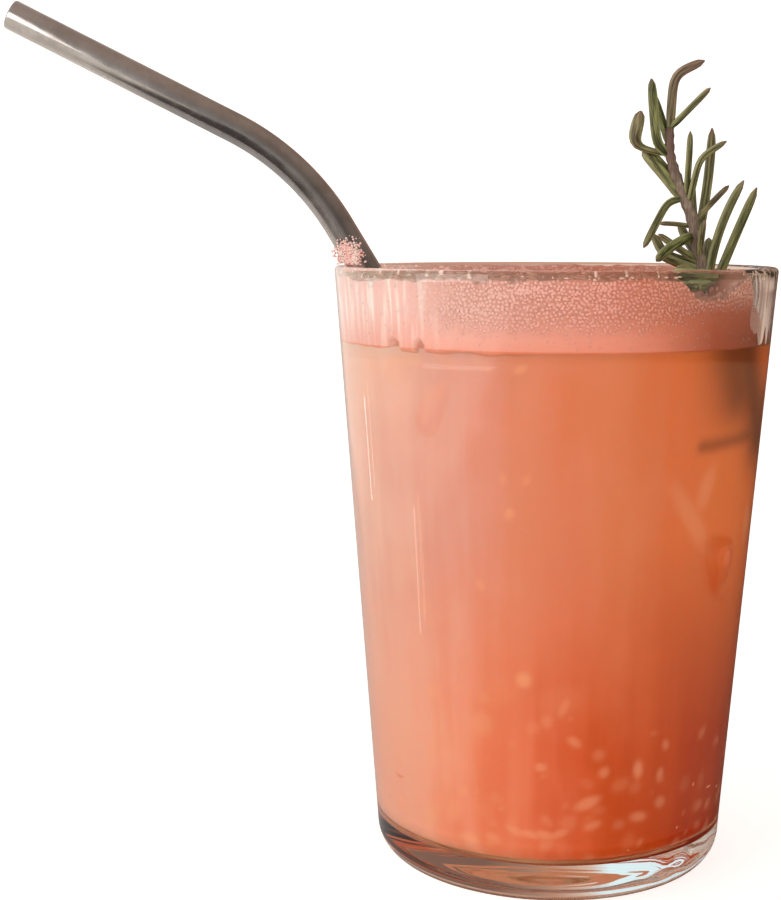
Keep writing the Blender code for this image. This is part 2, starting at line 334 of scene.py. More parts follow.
def joined_copies(name, template, places):
    """One mesh of many copies of a triangulated template, one for each matrix."""
    bmesh.ops.triangulate(template, faces=template.faces)
    template.verts.ensure_lookup_table()
    points = np.array([(*vert.co, 1.0) for vert in template.verts])
    faces = np.array([[vert.index for vert in face.verts] for face in template.faces])
    template.free()
    turns = np.array([[list(row) for row in place] for place in places])
    spread = np.einsum("kij,nj->kni", turns, points)[:, :, :3].reshape(-1, 3)
    starts = np.arange(len(places))[:, None, None] * len(points)
    joined = (faces[None, :, :] + starts).reshape(-1, 3)
    mesh = bpy.data.meshes.new(name)
    mesh.from_pydata(spread.tolist(), [], joined.tolist())
    return mesh


def shown_object(name, shape, material):
    """Makes a smooth object of a bmesh or mesh."""
    mesh = shape
    if isinstance(shape, bmesh.types.BMesh):
        mesh = bpy.data.meshes.new(name)
        shape.to_mesh(mesh)
        shape.free()
    mesh.shade_smooth()
    mesh.materials.append(material)
    made = bpy.data.objects.new(name, mesh)
    bpy.context.scene.collection.objects.link(made)
    return made


def finish_piece(name, shape, material, node=None):
    """Makes a piece that rides on the body and replaces a node."""
    piece = shown_object(name, shape, material)
    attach(piece, "root")
    if node:
        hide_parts(node)


def finish_copies(name, template, places, material):
    """Makes one piece of many copies of a template."""
    finish_piece(name, joined_copies(name, template, places), material)


# Small helpers for materials

# After so many bends, a ray goes straight on
MOST_BENDS = 4.5


def new_material(name):
    """A material, its node tree and its Principled shader."""
    made = bpy.data.materials.new(name)
    made.use_nodes = True
    tree = made.node_tree
    return made, tree, tree.nodes["Principled BSDF"]


def add_node(tree, kind, **settings):
    """Adds a node, with its properties and unlinked inputs set by name."""
    node = tree.nodes.new(kind)
    for name, value in settings.items():
        if name in node.inputs:
            node.inputs[name].default_value = value
        else:
            setattr(node, name, value)
    return node


def adjust(node, **values):
    """Sets a node's inputs by name, with underscores for spaces."""
    for name, value in values.items():
        node.inputs[name.replace("_", " ")].default_value = value


def split(tree, place):
    """The X, Y and Z outputs of a place."""
    parts = add_node(tree, "ShaderNodeSeparateXYZ")
    tree.links.new(place, parts.inputs["Vector"])
    return parts.outputs


def layer_value(tree, name):
    """The value that a mesh holds in a layer."""
    return add_node(tree, "ShaderNodeAttribute", attribute_name=name).outputs["Fac"]


def object_place(tree, scale=(1.0, 1.0, 1.0)):
    """Object coordinates, stretched by a scale along each axis."""
    place = add_node(tree, "ShaderNodeTexCoord")
    mapping = add_node(tree, "ShaderNodeMapping")
    mapping.inputs["Scale"].default_value = scale
    tree.links.new(place.outputs["Object"], mapping.inputs["Vector"])
    return mapping.outputs["Vector"]


def noise_field(tree, place, scale, detail=2.0, roughness=0.5):
    """A noise value from 0 to 1."""
    field = add_node(tree, "ShaderNodeTexNoise", Scale=scale, Detail=detail,
                     Roughness=roughness)
    tree.links.new(place, field.inputs["Vector"])
    return field.outputs["Fac"]


def mapped(tree, value, from_low, from_high, to_low=0.0, to_high=1.0):
    """A value carried from one range to another, and held there."""
    carried = add_node(tree, "ShaderNodeMapRange")
    adjust(carried, From_Min=from_low, From_Max=from_high, To_Min=to_low, To_Max=to_high)
    tree.links.new(value, carried.inputs["Value"])
    return carried.outputs["Result"]


def maths(tree, operation, first, second):
    """A sum, product or other joining of two values or numbers."""
    joined = add_node(tree, "ShaderNodeMath", operation=operation)
    for socket, value in zip(joined.inputs, (first, second)):
        if isinstance(value, (int, float)):
            socket.default_value = value
        else:
            tree.links.new(value, socket)
    return joined.outputs["Value"]


def blended(tree, share, first, second, blend="MIX"):
    """Two colours blended by a share; a colour is a tuple or a socket."""
    mix = add_node(tree, "ShaderNodeMix", data_type="RGBA", blend_type=blend)
    for socket, value in ((mix.inputs[0], share), (mix.inputs[6], first),
                          (mix.inputs[7], second)):
        if isinstance(value, tuple):
            socket.default_value = (*value, 1.0)
        elif isinstance(value, (int, float)):
            socket.default_value = value
        else:
            tree.links.new(value, socket)
    return mix.outputs[2]


def colour_ramp(tree, value, stops):
    """A ramp through (position, colour) stops."""
    ramp = add_node(tree, "ShaderNodeValToRGB")
    points = ramp.color_ramp.elements
    while len(points) < len(stops):
        points.new(0.5)
    for point, (position, colour) in zip(points, stops):
        point.position = position
        point.color = (*colour, 1.0)
    tree.links.new(value, ramp.inputs["Fac"])
    return ramp.outputs["Color"]


def coloured(tree, shader, colour):
    """Gives a shader its colour from a socket."""
    tree.links.new(colour, shader.inputs["Base Color"])


def bumped(tree, shader, height, strength, distance):
    """Gives a shader a bump from a height value."""
    bump = add_node(tree, "ShaderNodeBump", Strength=strength, Distance=distance)
    tree.links.new(height, bump.inputs["Height"])
    tree.links.new(bump.outputs["Normal"], shader.inputs["Normal"])


def lit_through(tree, shader, tint):
    """Lets lamps and scattered light pass a clear shader straight, with a tint, and at
    the left half also rays that were bent many times, which would end black."""
    path = add_node(tree, "ShaderNodeLightPath")
    straight = maths(tree, "MAXIMUM", path.outputs["Is Shadow Ray"],
                     path.outputs["Is Diffuse Ray"])
    deep = maths(tree, "GREATER_THAN", path.outputs["Ray Depth"], MOST_BENDS)
    axes = split(tree, object_place(tree))
    deep = maths(tree, "MULTIPLY", deep, mapped(tree, axes["X"], 0.010, -0.010))
    straight = maths(tree, "MAXIMUM", straight, deep)
    clear = add_node(tree, "ShaderNodeBsdfTransparent", Color=(*tint, 1.0))
    either = add_node(tree, "ShaderNodeMixShader")
    tree.links.new(straight, either.inputs[0])
    tree.links.new(shader.outputs["BSDF"], either.inputs[1])
    tree.links.new(clear.outputs["BSDF"], either.inputs[2])
    tree.links.new(either.outputs["Shader"], tree.nodes["Material Output"].inputs["Surface"])


# Materials

def clear_glass():
    """Clear pressed glass with a faint long waviness down its wall."""
    made, tree, shader = new_material("clear_glass")
    adjust(shader, Roughness=0.0, IOR=1.5, Specular_IOR_Level=0.36, Transmission_Weight=1.0)
    axes = split(tree, object_place(tree))
    # Painted shade: a narrow band at the lip, on the front half only, is tinted dark grey-green
    painted_lip_shade = maths(tree, "MULTIPLY", mapped(tree, axes["Z"], 0.1188, 0.1192),
                 mapped(tree, axes["Z"], 0.1206, 0.1202))
    painted_lip_shade = maths(tree, "MULTIPLY", painted_lip_shade, mapped(tree, axes["Y"], 0.0, -0.02))
    tint = blended(tree, painted_lip_shade, (0.965, 0.985, 0.965), (0.66, 0.64, 0.55))
    coloured(tree, shader, tint)
    wave = noise_field(tree, object_place(tree, (90.0, 90.0, 9.0)), 1.0, 1.0)
    bumped(tree, shader, wave, 0.25, 0.0004)
    lit_through(tree, shader, (0.97, 0.98, 0.97))
    return made


def clear_drink():
    """The clear part of the drink, tinted coral."""
    made, tree, shader = new_material("clear_drink")
    adjust(shader, Base_Color=(0.97, 0.62, 0.38, 1.0), Roughness=0.0, IOR=1.34,
           Specular_IOR_Level=0.1, Transmission_Weight=1.0)
    lit_through(tree, shader, (1.0, 0.90, 0.82))
    return made


def cloudy_drink():
    """The cloud of fine pulp: its own coral colour with painted light and shade on it, pale
    salmon at the left where the window light falls, deep coral to dark at the lower right, away
    from it.
    """
    made, tree, shader = new_material("cloudy_drink")
    place = object_place(tree)
    axes = split(tree, place)
    # Painted light and shade: the cloud is paler at the left, where the window light falls, and
    # deeper towards the right
    across = mapped(tree, axes["X"], -0.040, 0.040)
    drift = mapped(tree, noise_field(tree, place, 45.0, 3.0), 0.3, 0.7, -0.05, 0.05)
    streak = noise_field(tree, object_place(tree, (260.0, 260.0, 14.0)), 1.0, 2.0)
    streaks = mapped(tree, streak, 0.35, 0.65, -0.03, 0.03)
    share = maths(tree, "ADD", across, drift)
    share = maths(tree, "ADD", share, streaks)
    upper = colour_ramp(tree, share, [
        (0.05, (0.90, 0.65, 0.69)),
        (0.11, (0.84, 0.575, 0.61)),
        (0.19, (0.80, 0.475, 0.51)),
        (0.28, (0.79, 0.40, 0.395)),
        (0.36, (0.78, 0.355, 0.285)),
        (0.52, (0.78, 0.315, 0.220)),
        (0.61, (0.77, 0.290, 0.165)),
        (0.75, (0.76, 0.235, 0.100)),
        (0.86, (0.79, 0.24, 0.080)),
        (0.95, (0.82, 0.22, 0.055)),
    ])
    lower = colour_ramp(tree, share, [
        (0.08, (0.93, 0.55, 0.52)),
        (0.19, (0.95, 0.51, 0.47)),
        (0.28, (0.92, 0.41, 0.335)),
        (0.35, (0.86, 0.31, 0.21)),
        (0.43, (0.82, 0.24, 0.145)),
        (0.50, (0.74, 0.175, 0.087)),
        (0.56, (0.72, 0.150, 0.055)),
        (0.64, (0.63, 0.105, 0.018)),
        (0.71, (0.56, 0.078, 0.005)),
        (0.80, (0.46, 0.045, 0.002)),
        (0.90, (0.38, 0.030, 0.002)),
    ])
    # Painted shade: lower down, the lower ramp takes over, deeper and darker towards the bottom
    down = mapped(tree, axes["Z"], 0.072, 0.030)
    body = blended(tree, down, upper, lower)
    # Painted shade: the deep layer darkens the cloud where the sunk sprig lies
    deep = layer_value(tree, "deep")
    body = blended(tree, deep, body, (0.15, 0.042, 0.010))
    fleck = layer_value(tree, "fleck")
    body = blended(tree, fleck, body, (0.96, 0.55, 0.42))
    coloured(tree, shader, body)
    adjust(shader, Roughness=0.6, Specular_IOR_Level=0.1, Subsurface_Weight=0.6,
           Subsurface_Radius=(1.0, 0.42, 0.24), Subsurface_Scale=0.005)
    return made


def foam_stuff(name, lighter, roughness, painted_gap_shade, scatter=0.0):
    """Foam: pale pink at the left, coral to brown at the right and at its foot. The fall from
    pale left to brown right is painted light and shade, and where asked the cells between the
    bubbles get painted shade.
    """
    made, tree, shader = new_material(name)
    place = object_place(tree)
    axes = split(tree, place)
    # Painted light and shade: pale pink at the left, where the window light falls, to brown at
    # the right
    body = colour_ramp(tree, mapped(tree, axes["X"], -0.042, 0.042), [
        (0.00, (0.90, 0.56, 0.51)),
        (0.30, (0.87, 0.465, 0.39)),
        (0.55, (0.85, 0.355, 0.27)),
        (0.69, (0.70, 0.215, 0.125)),
        (0.81, (0.39, 0.085, 0.032)),
        (0.93, (0.24, 0.060, 0.028)),
    ])
    streak = noise_field(tree, object_place(tree, (650.0, 650.0, 45.0)), 1.0, 2.0, 0.6)
    streaks = mapped(tree, streak, 0.46, 0.62, 0.0, 0.8)
    at_left = mapped(tree, axes["X"], -0.020, -0.030)
    body = blended(tree, maths(tree, "MULTIPLY", streaks, at_left), body,
                   (0.98, 0.84, 0.76))
    low_down = maths(tree, "MULTIPLY", mapped(tree, axes["Z"], 0.1135, 0.1065, 0.0, 0.6),
                     mapped(tree, axes["X"], 0.018, 0.006))
    body = blended(tree, low_down, body, (0.84, 0.26, 0.16))
    low_edge = mapped(tree, axes["Z"], DRINK_LEVEL + 0.0004, DRINK_LEVEL - 0.0012,
                      0.0, 0.8)
    body = blended(tree, low_edge, body, (0.97, 0.92, 0.90), "MULTIPLY")
    high_up = maths(tree, "MULTIPLY", mapped(tree, axes["Z"], 0.1130, 0.1165, 0.0, 0.6),
                    mapped(tree, axes["X"], 0.012, 0.026))
    body = blended(tree, high_up, body, (0.80, 0.40, 0.29))
    body = blended(tree, lighter, body, (0.97, 0.86, 0.80))
    # Painted shade: dark coral in the cells between the bubbles, as shade in the creases
    cells = add_node(tree, "ShaderNodeTexVoronoi", feature="F1", Scale=1500.0)
    tree.links.new(place, cells.inputs["Vector"])
    depth = mapped(tree, cells.outputs["Distance"], 0.1, 0.6, 0.3 * painted_gap_shade, painted_gap_shade)
    depth = maths(tree, "MULTIPLY", depth, mapped(tree, axes["Z"], 0.1085, 0.1130))
    depth = maths(tree, "MULTIPLY", depth, mapped(tree, axes["X"], -0.031, -0.022))
    body = blended(tree, depth, body, (0.50, 0.15, 0.09))
    coloured(tree, shader, body)
    height = mapped(tree, cells.outputs["Distance"], 0.0, 0.8, 1.0, 0.0)
    bumped(tree, shader, height, 0.25, 0.00012)
    adjust(shader, Roughness=roughness, Subsurface_Weight=scatter,
           Subsurface_Radius=(1.0, 0.5, 0.35), Subsurface_Scale=0.002)
    return made


def polished_steel():
    """Polished stainless steel with fine draw lines and faint stains."""
    made, tree, shader = new_material("polished_steel")
    place = object_place(tree)
    stain = noise_field(tree, place, 160.0, 4.0, 0.6)
    body = blended(tree, mapped(tree, stain, 0.4, 0.7),
                   (0.50, 0.46, 0.44), (0.38, 0.34, 0.32))
    coloured(tree, shader, body)
    adjust(shader, Metallic=1.0)
    rough = mapped(tree, noise_field(tree, place, 420.0, 3.0), 0.3, 0.7, 0.13, 0.24)
    tree.links.new(rough, shader.inputs["Roughness"])
    grain = noise_field(tree, object_place(tree, (500.0, 3000.0, 500.0)), 1.0, 3.0)
    bumped(tree, shader, grain, 0.12, 0.00005)
    return made


def rosemary_leaf():
    """Waxy olive leaf: paler edges, brown towards a dried tip."""
    made, tree, shader = new_material("rosemary_leaf")
    place = object_place(tree)
    dried = layer_value(tree, "dried")
    lit = layer_value(tree, "edge")
    across = layer_value(tree, "across")
    along = layer_value(tree, "along")
    grain = add_node(tree, "ShaderNodeCombineXYZ")
    tree.links.new(across, grain.inputs[0])
    tree.links.new(along, grain.inputs[1])
    mottle = noise_field(tree, grain.outputs["Vector"], 1.0, 3.0, 0.6)
    green = colour_ramp(tree, mottle, [
        (0.38, (0.024, 0.032, 0.011)),
        (0.50, (0.090, 0.105, 0.030)),
        (0.62, (0.260, 0.275, 0.095)),
    ])
    green = blended(tree, mapped(tree, lit, 0.3, 1.0, 0.0, 0.7), green,
                    (0.40, 0.42, 0.20))
    brown = blended(tree, mapped(tree, mottle, 0.35, 0.65),
                    (0.060, 0.035, 0.022), (0.34, 0.235, 0.160))
    body = blended(tree, dried, green, brown)
    coloured(tree, shader, body)
    pores = noise_field(tree, place, 2600.0, 2.0)
    bumped(tree, shader, pores, 0.35, 0.00012)
    adjust(shader, Roughness=0.45, Subsurface_Weight=0.08, Subsurface_Scale=0.001)
    return made


def woody_stem():
    """Grey-brown bark with fine ridges along the stem, reddish near the top."""
    made, tree, shader = new_material("woody_stem")
    place = object_place(tree)
    axes = split(tree, place)
    ridge = noise_field(tree, object_place(tree, (2600.0, 2600.0, 240.0)), 1.0, 3.0, 0.6)
    bark = colour_ramp(tree, ridge, [
        (0.30, (0.085, 0.060, 0.045)),
        (0.55, (0.230, 0.175, 0.130)),
        (0.75, (0.380, 0.310, 0.240)),
    ])
    red = mapped(tree, axes["Z"], 0.138, 0.143, 0.0, 0.6)
    bark = blended(tree, red, bark, (0.11, 0.045, 0.035))
    coloured(tree, shader, bark)
    bumped(tree, shader, ridge, 0.6, 0.0002)
    adjust(shader, Roughness=0.75)
    return made


def melting_ice():
    """Melting ice, almost as clear as the drink, with a few cloudy places."""
    made, tree, shader = new_material("melting_ice")
    adjust(shader, Base_Color=(1.0, 0.90, 0.84, 1.0), IOR=1.31, Transmission_Weight=1.0)
    frost = noise_field(tree, object_place(tree), 160.0, 3.0, 0.6)
    rough = mapped(tree, frost, 0.45, 0.75, 0.02, 0.25)
    tree.links.new(rough, shader.inputs["Roughness"])
    bumped(tree, shader, frost, 0.2, 0.0004)
    lit_through(tree, shader, (1.0, 0.95, 0.92))
    return made


def pale_pulp():
    """Soft pale flesh of the fruit."""
    made, tree, shader = new_material("pale_pulp")
    vary = noise_field(tree, object_place(tree), 400.0, 2.0)
    body = blended(tree, vary, (0.88, 0.36, 0.24), (0.93, 0.48, 0.34))
    coloured(tree, shader, body)
    adjust(shader, Roughness=0.5, Specular_IOR_Level=0.1)
    return made


def painted_glow_backdrop():
    """Pale studio paper that glows with painted light: brighter to the camera, fainter to
    scattered light, which it lights like a lamp. What the glass and steel mirror of it is a
    painted reflection, bright at the left and behind, and dark in front and at the right.
    Through the foot it shows painted colours, and under the foot it is shaded."""
    made, tree, shader = new_material("pale_paper_painted_glow")
    place = object_place(tree)
    axes = split(tree, place)
    path = add_node(tree, "ShaderNodeLightPath")

    # Painted reflection for glossy rays: bright at the left, dark in front and at the right,
    # warm brown on the tall part at the right
    side = colour_ramp(tree, mapped(tree, axes["X"], -0.4, 0.2), [
        (0.00, (1.10, 1.05, 0.95)),
        (0.20, (1.00, 0.95, 0.86)),
        (0.34, (0.55, 0.54, 0.53)),
        (0.58, (0.46, 0.44, 0.42)),
        (0.70, (0.12, 0.07, 0.05)),
        (1.00, (0.10, 0.06, 0.04)),
    ])
    front = maths(tree, "MULTIPLY", mapped(tree, axes["Y"], -0.06, 0.0, 0.88, 0.0),
                  mapped(tree, axes["X"], -0.30, -0.25))
    mirrored = blended(tree, front, side, (0.04, 0.03, 0.03))
    tall = mapped(tree, axes["Z"], 0.05, 0.30, 0.0, 0.8)
    paper = blended(tree, mapped(tree, axes["X"], -0.1, 0.1),
                    (0.92, 0.84, 0.78), (0.52, 0.34, 0.26))
    mirrored = blended(tree, tall, mirrored, paper)

    # Painted refraction for rays through the foot: streaked coral under it, dark near its front
    # edge, and coral, brown and cyan-white behind it and on the wall
    streak = noise_field(tree, object_place(tree, (60.0, 240.0, 1.0)), 1.0, 2.0)
    under = colour_ramp(tree, streak, [
        (0.34, (0.22, 0.090, 0.055)),
        (0.46, (0.50, 0.250, 0.160)),
        (0.58, (0.62, 0.380, 0.270)),
        (0.68, (0.78, 0.620, 0.480)),
    ])
    near_edge = mapped(tree, axes["Y"], -0.012, -0.020, 0.0, 0.4)
    under = blended(tree, near_edge, under, (0.08, 0.030, 0.018))
    behind = colour_ramp(tree, mapped(tree, axes["X"], -0.2, 0.2), [
        (0.20, (0.80, 0.60, 0.50)),
        (0.36, (0.70, 0.37, 0.27)),
        (0.50, (0.58, 0.28, 0.19)),
        (0.60, (0.62, 0.34, 0.25)),
        (0.66, (0.80, 0.57, 0.46)),
    ])
    length = add_node(tree, "ShaderNodeVectorMath", operation="LENGTH")
    tree.links.new(place, length.inputs[0])
    away = mapped(tree, length.outputs["Value"], 0.036, 0.042)
    refracted = blended(tree, away, under, behind)
    wall = colour_ramp(tree, mapped(tree, axes["X"], -0.4, 0.4), [
        (0.38, (0.80, 0.96, 1.00)),
        (0.45, (0.72, 0.55, 0.45)),
        (0.56, (0.52, 0.28, 0.19)),
        (0.64, (0.36, 0.21, 0.15)),
        (0.80, (0.20, 0.11, 0.08)),
    ])
    upright = mapped(tree, axes["Z"], 0.03, 0.08)
    refracted = blended(tree, upright, refracted, wall)

    # Painted glow: brighter to the camera, fainter to scattered rays, which it lights like a
    # lamp
    painted_ray_glow = blended(tree, path.outputs["Is Camera Ray"], (0.22, 0.22, 0.22),
                    (0.60, 0.60, 0.60))
    seen = blended(tree, path.outputs["Is Glossy Ray"], painted_ray_glow, mirrored)
    seen = blended(tree, path.outputs["Is Transmission Ray"], seen, refracted)
    tree.links.new(seen, shader.inputs["Emission Color"])
    adjust(shader, Emission_Strength=1.0)
    # Black to glossy rays, so that the glass and steel mirror only the painted glow
    body = blended(tree, path.outputs["Is Glossy Ray"], (0.85, 0.85, 0.85),
                   (0.0, 0.0, 0.0))
    coloured(tree, shader, body)
    adjust(shader, Roughness=0.9, Specular_IOR_Level=0.0)
    return made


# Tumbler

def make_tumbler():
    """The tumbler: a domed punt, rounded heel, leaning wall, round lip and deep floor."""
    heel = fillet_centre(FOOT_RADIUS, OUTER_SLOPE, 0.0, HEEL_RADIUS)
    profile = []
    for i in range(FOOT_RINGS + 1):
        part = i / FOOT_RINGS
        profile.append((PUNT_RADIUS * part, PUNT_DEPTH * (1 - part ** 2) ** 2))
    profile += arc(heel, HEEL_RADIUS, -math.pi / 2, -OUTER_SLOPE, 16)
    lip = WALL_AT_RIM / 2
    rim = arc((RIM_RADIUS - lip, HEIGHT - lip), lip, 0.0, math.pi, 12)
    profile += between(profile[-1], rim[0], 30)
    profile += rim[1:]
    floor = inner_floor(0.0, 12)
    for across, height in between(rim[-1], floor[-1], 60):
        bead = LIP_BEAD * math.exp(-((HEIGHT - height - 1.3 * MM) / (0.7 * MM)) ** 2)
        profile.append((across - bead, height))
    profile += reversed(floor[1:-1])
    profile += between(floor[1], floor[0], FOOT_RINGS)
    bm = spun(profile, GLASS_STEPS)
    for vert in bm.verts:
        radius = vert.co.xy.length
        height = vert.co.z
        ripple = noise.noise(Vector((vert.co.x * 150, vert.co.y * 420, height * 90)))
        if height < 1.5 * MM and radius < FOOT_RADIUS - HEEL_RADIUS:
            flat = smooth_step(FOOT_RADIUS - HEEL_RADIUS, PUNT_RADIUS - 3 * MM, radius)
            vert.co.z += 0.10 * MM * (ripple + 0.6) * flat
        elif height < BASE_THICKNESS + 0.1 * MM and radius < 26 * MM:
            vert.co.z += 0.05 * MM * ripple * smooth_step(26 * MM, 22 * MM, radius)
        outside = radius > (bore_radius(height) + WALL_AT_RIM / 2)
        if outside and 0.8 * MM < height < 9 * MM:
            rough = smooth_step(6 * MM, 20 * MM, vert.co.x) * smooth_step(9 * MM, 6 * MM, height)
            dimple = noise.noise(vert.co * 460)
            vert.co.xy *= 1 + 0.13 * MM * dimple * rough / radius
        if outside and HEEL_RADIUS < height < HEIGHT - 2 * MM:
            wave = noise.noise(Vector((vert.co.x * 110, vert.co.y * 110, height * 14)))
            vert.co.xy *= 1 + (wave - 1.0) * WALL_WAVE / radius
    finish_piece("tumbler", bm, clear_glass(), "glass")


# Drink

RECESSES = [
    # Degrees round from the front, height, half width in degrees, half height, depth
    (-40.0, 98.0 * MM, 13.0, 7.0 * MM, 2.0 * MM),
    (-18.0, 99.0 * MM, 9.0, 5.0 * MM, 1.6 * MM),
    (150.0, 96.0 * MM, 14.0, 9.0 * MM, 2.5 * MM),
    (-130.0, 94.0 * MM, 14.0, 9.0 * MM, 2.5 * MM),
]

# Soft flecks that show one by one: column and row where the camera sees them in a
# picture 781 wide and 900 high, width and height (mm), and strength
SHOWN_FLECKS = [
    (435, 690, 2.4, 2.4, 0.50), (524, 679, 2.6, 2.6, 0.75), (483, 722, 3.6, 4.2, 0.45),
    (547, 720, 1.8, 2.6, 0.40), (541, 766, 1.8, 1.5, 0.60), (386, 761, 1.6, 2.8, 0.40),
    (395, 804, 2.0, 3.4, 0.55), (410, 822, 2.8, 2.0, 0.50), (435, 813, 3.0, 4.4, 0.60),
    (456, 809, 2.6, 4.0, 0.50), (471, 836, 3.2, 2.0, 0.55), (494, 836, 2.6, 1.6, 0.50),
    (515, 829, 3.4, 1.4, 0.55), (530, 833, 3.6, 1.3, 0.60), (546, 834, 3.4, 1.4, 0.60),
    (465, 789, 2.0, 1.6, 0.45), (564, 706, 1.6, 3.6, 0.45), (574, 741, 2.6, 1.5, 0.50),
    (603, 771, 1.8, 2.0, 0.50), (636, 768, 1.8, 3.2, 0.60), (657, 772, 1.4, 2.2, 0.45),
    (663, 743, 1.4, 2.0, 0.40), (587, 802, 4.4, 2.0, 0.60), (636, 815, 3.2, 1.8, 0.50),
    (657, 800, 2.2, 2.0, 0.40), (592, 824, 3.0, 1.6, 0.45), (560, 832, 3.0, 1.4, 0.50),
    (510, 513, 1.6, 1.8, 0.60), (503, 478, 1.0, 1.8, 0.40), (527, 480, 1.2, 1.8, 0.40),
    (481, 584, 1.1, 2.2, 0.45), (430, 612, 0.9, 6.0, 0.35), (520, 370, 2.2, 1.2, 0.55),
    (690, 520, 3.4, 15.0, 0.35), (703, 488, 3.4, 8.0, 0.35), (738, 520, 4.0, 7.0, 0.30),
    (560, 700, 7.0, 5.0, 0.16), (500, 690, 8.0, 5.0, 0.14), (445, 740, 7.0, 8.0, 0.16),
    (372, 358, 10.0, 2.0, 0.30), (405, 361, 9.0, 2.2, 0.40), (440, 357, 7.0, 1.8, 0.30),
    (395, 374, 10.0, 2.4, 0.22), (480, 362, 5.0, 1.4, 0.30),
]


def scattered_flecks():
    """Soft flecks all round, most of them low in the drink."""
    draw = random.Random(19)
    flecks = []
    for column, row, width, tall, strength in SHOWN_FLECKS:
        degrees, height = wall_at(column, row)
        tilt = draw.uniform(-0.7, 0.7)
        flecks.append((degrees, height, width * 1.2 * MM, tall * 1.2 * MM, strength * 0.8,
                       tilt))
    for _ in range(SCATTERED_FLECKS):
        height = BASE_THICKNESS + 1 * MM + abs(draw.gauss(0.0, 15.0)) * MM
        width = draw.uniform(0.8, 3.2) * MM
        tall = width * draw.uniform(0.5, 1.6)
        strength = draw.uniform(0.08, 0.26)
        tilt = draw.uniform(-1.5, 1.5)
        flecks.append((draw.uniform(-180, 180), height, width, tall, strength, tilt))
    return flecks


def fleck_field(places, flecks):
    """How strongly a soft fleck shows at each of many places."""
    degrees = np.degrees(np.arctan2(places[:, 0], -places[:, 1]))
    shown = np.zeros(len(places))
    for middle, height, width, tall, strength, tilt in flecks:
        side = (degrees - middle + 180) % 360 - 180
        off_across = np.radians(side) * bore_radius(height)
        off_up = places[:, 2] - height
        across = (off_across * math.cos(tilt) + off_up * math.sin(tilt)) * 2 / width
        up = (off_up * math.cos(tilt) - off_across * math.sin(tilt)) * 2 / tall
        near = strength * np.exp(-(across ** 2 + up ** 2) ** 1.8)
        shown = np.maximum(shown, near)
    return shown


# Soft painted shades of the sunk sprig, its silhouette and shadow on the cloud: column and row
# of both ends where the camera sees them in a picture 781 wide and 900 high, half width (mm) and
# strength
SUNK_SHADES = [
    ((742, 343), (748, 434), 6.4, 0.94),
    ((753, 400), (754, 452), 3.0, 0.60),
    ((742, 434), (700, 446), 1.3, 0.60),
    ((727, 350), (733, 392), 5.5, 0.75),
    ((712, 350), (718, 400), 6.0, 0.25),
]


def shade_field(places):
    """How strongly the sunk part of the sprig shades the cloud at each of many places."""
    degrees = np.degrees(np.arctan2(places[:, 0], -places[:, 1]))
    heights = places[:, 2]
    shown = np.zeros(len(places))
    for start, end, half, strength in SUNK_SHADES:
        low_degrees, low = wall_at(*start)
        high_degrees, high = wall_at(*end)
        per_degree = math.radians(1.0) * bore_radius(low)
        run = np.array([(high_degrees - low_degrees) * per_degree, high - low])
        off_across = (degrees - low_degrees) * per_degree
        off_up = heights - low
        share = (off_across * run[0] + off_up * run[1]) / (run @ run)
        share = np.clip(share, 0.0, 1.0)
        away = np.hypot(off_across - share * run[0], off_up - share * run[1]) / (half * MM)
        shown = 1 - (1 - shown) * (1 - strength * np.exp(-away ** 2))
    return shown


def make_drink():
    """The clear drink, reaching just into the wall, and the cloud of pulp in it."""
    shell = inner_floor(-REACH, 12)
    top = DRINK_LEVEL - 0.1 * MM
    shell += between(shell[-1], (bore_radius(top) + REACH, top), 24)
    shell.append((0.0, top))
    finish_piece("lemonade", spun(shell, GLASS_STEPS), clear_drink(), "drink")

    core = inner_floor(CLOUD_FLOOR_GAP, 10)
    low = core[-1][1]
    high = top - 0.1 * MM
    for i in range(1, CLOUD_ROWS + 1):
        z = low + (high - low) * i / CLOUD_ROWS
        core.append((bore_radius(z) - CLOUD_INSET, z))
    core.append((0.0, high))
    bm = spun(core, CLOUD_STEPS)
    # The deep layer holds the painted shade of the sunk sprig
    deep = bm.verts.layers.float.new("deep")
    fleck = bm.verts.layers.float.new("fleck")
    spots = np.array([vert.co for vert in bm.verts])
    shown = fleck_field(spots, scattered_flecks())
    shades = shade_field(spots)
    for vert, strength, shade in zip(bm.verts, shown, shades):
        radius = vert.co.xy.length
        vert[fleck] = float(strength)
        vert[deep] = float(shade)
        if radius < 5 * MM:
            continue
        degrees = round_angle(vert.co)
        hollow = 0.0
        for middle, level, half_angle, half_height, depth in RECESSES:
            side = (degrees - middle + 180) % 360 - 180
            reach = (side / half_angle) ** 2 + ((vert.co.z - level) / half_height) ** 2
            hollow += depth * math.exp(-reach)
        swirl = noise.fractal(vert.co * 90, 1.0, 2.0, 3)
        hollow += 0.25 * MM * (1 + swirl) * (1 - strength)
        vert.co.xy *= 1 - hollow / radius
    finish_piece("lemonade_cloud", bm, cloudy_drink())


def pulp_template(seed):
    """A lumpy bit of fruit flesh about 1 across."""
    bm = ball(2, 0.5)
    for vert in bm.verts:
        lump = noise.noise(vert.co * 2.6 + Vector((seed, 0.0, 0.0)))
        vert.co *= 1 + 0.55 * lump
    return bm


def turned_to_wall(degrees, radius, height, size, spin):
    """A matrix that lays a piece flat to the wall: width, height, thickness."""
    place = wall_place(degrees, radius, height)
    turn = Matrix.Rotation(math.radians(degrees), 4, "Z")
    turn = turn @ Matrix.Rotation(BORE_SLOPE, 4, "X") @ Matrix.Rotation(spin, 4, "Y")
    scale = Matrix.Diagonal((size[0], size[2], size[1], 1.0))
    return Matrix.Translation(place) @ turn @ scale


